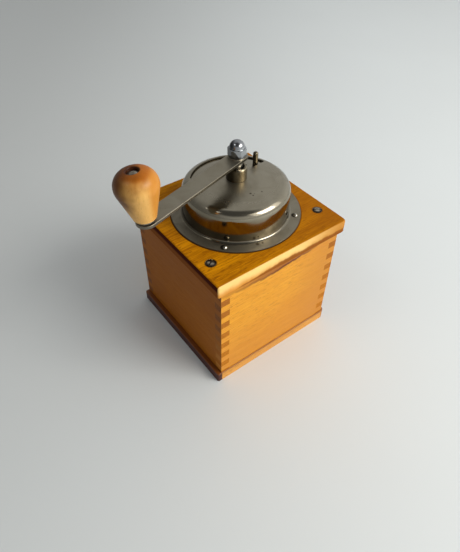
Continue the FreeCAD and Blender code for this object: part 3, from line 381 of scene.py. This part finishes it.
def mouth_edge(look):
    """1 on the cut edge of the filler mouth."""
    upright = look.ramp(look.turned(2), 0.3, 0.6, 1.0, 0.0)
    inside = look.ramp(look.radius(), 40.0, 42.0, 1.0, 0.0)
    high = look.ramp(look.z, dome_high.z - 6, dome_high.z - 5)
    return look.times(upright, look.times(inside, high))


def nail_shadow_and_grime():
    """The centre and radius of the dark patch at each nail, painted shadow with some dirt, set a
    little to the side away from the window.
    """
    spots = []
    for step in range(nail_count):
        turn = math.radians(nail_turn + 360 / nail_count * step)
        point = (nail_orbit * math.cos(turn) + 0.6, nail_orbit * math.sin(turn) - 0.5, flange_top)
        spots.append((point, 3.1))
    return spots


def dome_marks(look, colour):
    """Rust pits, a stained flange, a dark pit on the wall, a painted reflection of a nail in the
    wall, and painted shade: on the filler mouth's cut edge, beside each nail with some dirt, round
    the flange's rim, and low on the wall and flange, where the metal is also dirtier.
    """
    crown_pits = [((3.8, 22.2, dome_high.z - 1.1), 1.3), ((3.4, 24.9, dome_high.z - 1.3), 1.0),
                  ((1.5, 24.0, dome_high.z - 1.2), 0.6), ((-5.0, 24.9, dome_high.z - 1.4), 0.9)]
    flange_pits = [((19.7, 39.4, flange_top), 0.9), ((13.5, 44.6, flange_top), 2.2),
                   ((9.6, 45.9, flange_top), 1.3)]
    wall_pit_and_reflection = [((32.6, 28.1, dome_high.z - 12.5), 1.6), ((30.5, 30.3, dome_low.z + 7.5), 1.3)]
    colour = look.stain(colour, crown_pits + flange_pits, 0.8, 0.85, rgb(52, 36, 24))
    # Painted shade on the cut edge of the filler mouth.
    colour = look.blend(mouth_edge(look), colour, rgb(104, 97, 82))
    # A dark pit high on the wall, and low on the wall a painted reflection of the nail below it.
    colour = look.stain(colour, wall_pit_and_reflection, 0.7, 0.7, rgb(40, 30, 20))
    # Painted shadow, with some dirt, beside each nail on the side away from the window.
    colour = look.stain(colour, nail_shadow_and_grime(), 0.3, 0.92, rgb(22, 17, 12))
    # Painted shade on the flange's outer rim.
    rim = look.ramp(look.radius(), dome_edge - 0.7, dome_edge - 0.1, 0.0, 0.6)
    colour = look.blend(rim, colour, rgb(60, 52, 42))
    # Low on the wall and on the flange the metal is darker, more so on the side away from the
    # window: partly dirtier metal and partly painted shade.
    shaded = look.ramp(look.reach(from_window), -20.0, 45.0, 0.3, 0.8)
    below = look.ramp(look.z, dome_high.z - 7.0, dome_high.z - 12.0)
    wall = look.ramp(look.radius(), 43.5, 46.0, 1.0, 0.45)
    amount = look.times(look.times(shaded, below), wall)
    return look.blend(amount, colour, rgb(66, 58, 44))


def dome_polish(look):
    """The wall and shoulder are bright, and the crown and flange are rubbed dull."""
    crown = look.ramp(look.z, dome_high.z - 4.0, dome_high.z - 1.0, 0.36, 1.0)
    flange = look.ramp(look.radius(), 43.0, 46.0, 0.0, 1.45)
    edge = look.times(mouth_edge(look), 1.9)
    return look.math("MAXIMUM", look.math("MAXIMUM", crown, flange), edge)


def shaded_side_marks(look, colour):
    """Painted shade on the side away from the window."""
    return look.blend(away(look, 0.0, 0.6, 0.85), colour, rgb(44, 38, 30))


def nut_marks(look, colour):
    """Painted shade that darkens the nut's side away from the window, and a darker foot."""
    low = corners_of("cap_nut")[0].z
    height = look.plus(look.z, look.ramp(look.noise(0.4, 2), 0.3, 0.7, -0.8, 0.8))
    foot = look.ramp(height, low + 3.2, low + 0.6, 0.0, 0.8)
    # Painted shade on the side away from the window, joined with the darker foot.
    dark = look.math("MAXIMUM", away(look, 0.15, 0.7, 0.85), foot)
    return look.blend(dark, colour, rgb(30, 30, 32))


def arm_marks(look, colour):
    """The arm's narrow edges are darker, most near the nut and paler towards the knob."""
    side = look.ramp(look.turned(2), 0.5, 0.8, 1.0, 0.0)
    edge = look.blend(look.ramp(look.radius(), 15.0, 90.0), rgb(66, 60, 48), rgb(118, 112, 100))
    return look.blend(side, colour, edge)


# Wood colours that more than one material uses: between the fibres, the fibres, the end grain.
amber, amber_deep, amber_end = rgb(236, 166, 42), rgb(214, 138, 26), rgb(134, 78, 22)
raw, raw_deep, raw_end = rgb(214, 178, 130), rgb(188, 148, 100), rgb(150, 110, 72)

materials = {
    "top": make_wood("beech_top", 0, rgb(224, 148, 6), rgb(166, 98, 1), rgb(70, 20, 3),
                     rough=0.62, coat=0.0, specular=0.05, marks=top_board_marks,
                     contrast=1.15, density=0.95),
    "base": make_wood("beech_base", 0, rgb(232, 166, 70), rgb(206, 136, 48), rgb(72, 24, 6),
                      marks=base_marks),
    "back": make_wood("beech_back", 0, amber, amber_deep, amber_end, rough=0.5, coat=0.05,
                      marks=back_marks, contrast=0.85),
    "front": make_wood("beech_front", 0, amber, amber_deep, amber_end, rough=0.5, coat=0.05,
                       contrast=0.85),
    # The side panels' wood is a darker, browner copy of the box's beech: partly a darker varnish
    # and partly painted shade for the face turned from the window.
    "side": make_wood("beech_side", 1, rgb(166, 98, 16), rgb(146, 80, 8), rgb(200, 124, 34),
                      rough=0.55, coat=0.0, specular=0.12, marks=side_marks, contrast=0.6),
    "plain_x": make_wood("plain_beech_x", 0, raw, raw_deep, raw_end, rough=0.6, coat=0.0),
    "plain_y": make_wood("plain_beech_y", 1, raw, raw_deep, raw_end, rough=0.6, coat=0.0),
    "knob": make_wood("turned_beech", 2, rgb(236, 184, 104), rgb(216, 156, 72),
                      rgb(200, 120, 40), rough=0.42, coat=0.18, specular=0.15,
                      marks=knob_marks, contrast=0.4),
    "pull": make_wood("turned_pull", 1, rgb(206, 142, 62), rgb(182, 112, 38),
                      rgb(160, 92, 30), rough=0.42, coat=0.2),
    "nickel": make_metal("aged_nickel", rgb(160, 152, 134), rgb(130, 121, 102), rough=0.36,
                         marks=dome_marks, polish=dome_polish),
    "fitting": make_metal("fitting_nickel", rgb(152, 142, 120), rgb(96, 84, 64), rough=0.2,
                          grime=0.7, marks=shaded_side_marks),
    "arm": make_metal("arm_nickel", rgb(154, 146, 128), rgb(130, 121, 102), rough=0.4,
                      marks=arm_marks, relief=0.004),
    "chrome": make_metal("nut_chrome", rgb(170, 172, 174), rgb(120, 120, 122), rough=0.09,
                         grime=0.4, marks=nut_marks),
    "nail": make_metal("nail_nickel", rgb(206, 198, 180), rgb(130, 118, 96), rough=0.15,
                       grime=0.3, marks=shaded_side_marks),
    "top_screw": make_metal("worn_steel", rgb(190, 180, 162), rgb(120, 108, 90), rough=0.22,
                            grime=0.5, scale=0.4, marks=screw_shade_marks),
    "screw": make_metal("dark_steel", rgb(168, 158, 142), rgb(70, 60, 48), rough=0.22,
                        grime=0.7, scale=0.4),
    "iron": make_metal("grey_iron", rgb(104, 104, 104), rgb(70, 66, 62), rough=0.55,
                       grime=0.6, scale=0.2, relief=0.15),
    "burr": make_metal("burr_steel", rgb(150, 148, 146), rgb(100, 96, 92), rough=0.35,
                       grime=0.4, scale=0.2),
    "steel": make_metal("turned_steel", rgb(190, 188, 184), rgb(140, 136, 130), rough=0.22,
                        grime=0.4, scale=0.2),
    "brass": make_metal("brass", rgb(214, 180, 104), rgb(150, 112, 56), rough=0.25,
                        grime=0.5, scale=0.2),
}

# Each node's material.
looks = {
    "top_board": "top", "base_board": "base", "back_panel": "back", "front_panel": "front",
    "left_panel": "side", "right_panel": "side", "drawer_front": "front",
    "left_runner": "plain_y", "right_runner": "plain_y", "left_kicker": "plain_y",
    "right_kicker": "plain_y", "drawer_left_side": "plain_y", "drawer_right_side": "plain_y",
    "drawer_back": "plain_x", "drawer_bottom": "plain_x", "drawer_knob": "pull",
    "handle_knob": "knob", "dome_cover": "nickel", "shutter": "nickel",
    "shutter_pin": "fitting", "bearing_collar": "fitting", "flange_pins": "nail",
    "crank_arm": "arm", "cap_nut": "chrome", "top_screws": "top_screw", "base_screws": "screw",
    "drawer_knob_screw": "screw", "housing_screws": "screw", "bridge_screws": "screw",
    "collar_ring": "screw", "mill_housing": "iron", "lower_bridge": "iron",
    "outer_burr": "burr", "inner_burr": "burr", "burr_pin": "burr", "thrust_disc": "burr",
    "crank_shaft": "steel", "pressure_spring": "steel", "spring_seat": "steel",
    "arm_washer": "steel", "handle_washer": "screw", "handle_spindle": "screw",
    "end_washer": "screw", "grind_adjuster": "brass",
}
for name, node in nodes.items():
    node.data.materials.clear()
    node.data.materials.append(materials[looks[name]])


# ---------------------------------------------------------------- floor, camera and lights

floor_reach = 6.0
camera_lens, camera_sensor = 31.41, 36.0
camera_place = Vector((0.1957, 0.2482, 0.3596))
camera_bearing, camera_drop, camera_roll = 52.43, 45.12, 0.87
lamp_target = Vector((0, 0, 0.08))
daylight, neutral = (1.0, 0.975, 0.93), (1.0, 1.0, 1.0)
dark_overhead = (0.25, 0.33, 0.91)
sky_tint = (0.97, 0.99, 1.0, 1)


def make_floor():
    """A plain floor with painted light: paler on the window's side."""
    mesh = bpy.data.meshes.new("floor")
    mesh.from_pydata([(-floor_reach, -floor_reach, 0), (floor_reach, -floor_reach, 0),
                      (floor_reach, floor_reach, 0), (-floor_reach, floor_reach, 0)],
                     [], [(0, 1, 2, 3)])
    floor = bpy.data.objects.new("floor", mesh)
    bpy.context.scene.collection.objects.link(floor)
    look = Look("floor")
    # Painted light: the floor is made paler towards the window.
    window_light_paint = look.ramp(look.reach(to_window), -420.0, 300.0)
    pale = look.blend(window_light_paint, rgb(196, 199, 198), rgb(236, 241, 241))
    clouds = look.times(look.noise(0.004, 2), 0.12)
    colour = look.blend(clouds, pale, rgb(196, 196, 192))
    mesh.materials.append(look.shade(Base_Color=colour, Roughness=0.6))


def add_area(name, azimuth, elevation, distance, width, height, power, colour):
    """A rectangular lamp at this bearing and distance, aimed at the mill."""
    lamp = bpy.data.lights.new(name, "AREA")
    lamp.shape = "RECTANGLE"
    lamp.size = width
    lamp.size_y = height
    lamp.energy = power
    lamp.color = colour
    thing = bpy.data.objects.new(name, lamp)
    bpy.context.scene.collection.objects.link(thing)
    turn, lift = math.radians(azimuth), math.radians(elevation)
    thing.location = Vector((math.cos(turn) * math.cos(lift), math.sin(turn) * math.cos(lift),
                             math.sin(lift))) * distance
    thing.rotation_euler = (lamp_target - thing.location).to_track_quat("-Z", "Y").to_euler()


def add_camera():
    """The camera that was fitted to the box's edges: its bearing from the mill, drop and roll."""
    data = bpy.data.cameras.new("camera")
    data.sensor_width = camera_sensor
    data.lens = camera_lens
    camera = bpy.data.objects.new("camera", data)
    bpy.context.scene.collection.objects.link(camera)
    turns = ((camera_bearing + 90, "Z"), (90 - camera_drop, "X"), (camera_roll, "Z"))
    camera.matrix_world = Matrix.Translation(camera_place)
    for degrees, axis in turns:
        camera.matrix_world = camera.matrix_world @ Matrix.Rotation(math.radians(degrees), 4, axis)
    bpy.context.scene.camera = camera


def make_world():
    """A grey studio that is lighter on the window's side and dark overhead."""
    world = bpy.data.worlds.new("studio")
    world.use_nodes = True
    sky = world.node_tree.nodes["Background"]
    graph = Graph(world.node_tree)
    direction = graph.add("TexCoord").outputs["Generated"]
    side = graph.ramp(graph.dot(direction, to_window), -0.9, 0.9, 0.215, 0.86, "LINEAR")
    overhead = graph.ramp(graph.dot(direction, dark_overhead), 0.72, 0.94, 1.0, 0.22)
    graph.feed(sky.inputs["Strength"], graph.times(side, overhead))
    graph.feed(sky.inputs["Color"], sky_tint)
    bpy.context.scene.world = world


make_floor()
add_camera()
add_area("window", azimuth=122, elevation=38, distance=2.2, width=2.4, height=1.4,
         power=11, colour=daylight)
add_area("pane", azimuth=121, elevation=38, distance=2.1, width=1.1, height=0.75,
         power=22.5, colour=daylight)
add_area("side_fill", azimuth=-10, elevation=56, distance=1.6, width=0.5, height=0.3,
         power=1.2, colour=neutral)
make_world()
bpy.context.scene.view_settings.view_transform = "Standard"
